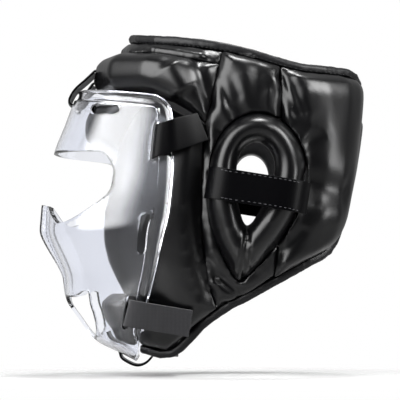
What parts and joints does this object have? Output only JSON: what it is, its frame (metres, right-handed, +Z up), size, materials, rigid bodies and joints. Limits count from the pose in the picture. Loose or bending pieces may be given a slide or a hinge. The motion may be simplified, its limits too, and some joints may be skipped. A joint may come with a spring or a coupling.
{
  "type": "boxing headgear with face shield",
  "caption": "Padded black leather head guard for boxing, with ear openings and a clear moulded face shield strapped over the face.",
  "frame": {"origin": "middle of the head hollow at the brow line, where the wearer's head sits", "axes": "-X is where the face looks, -Y is the wearer's left, +Z is up"},
  "size_m": [0.3098, 0.238, 0.3151],
  "materials": {
    "leather": "gloss",
    "binding": "satin",
    "webbing": "matte",
    "clear_plastic": "polished"
  },
  "bodies": {
    "root": {"forehead_panel": "leather", "brow_pad": "leather", "forehead_band": "leather", "chin_pad": "leather", "rear_closure": "leather", "cheek_pad_left": "leather", "cheek_pad_right": "leather", "side_panel_left": "leather", "side_panel_right": "leather", "rear_panel_left": "leather", "rear_panel_right": "leather", "ear_ring_left": "leather", "ear_ring_right": "leather", "ear_strap_left": "leather", "ear_strap_right": "leather", "top_strap": "leather", "temple_strap_left": "leather", "temple_strap_right": "leather", "chin_strap": "leather", "chin_loop": "leather", "top_binding": "binding", "bottom_binding_left": "binding", "bottom_binding_right": "binding", "jaw_strap_left": "webbing", "jaw_strap_right": "webbing", "face_shield": "clear_plastic"}
  },
  "joints": []
}
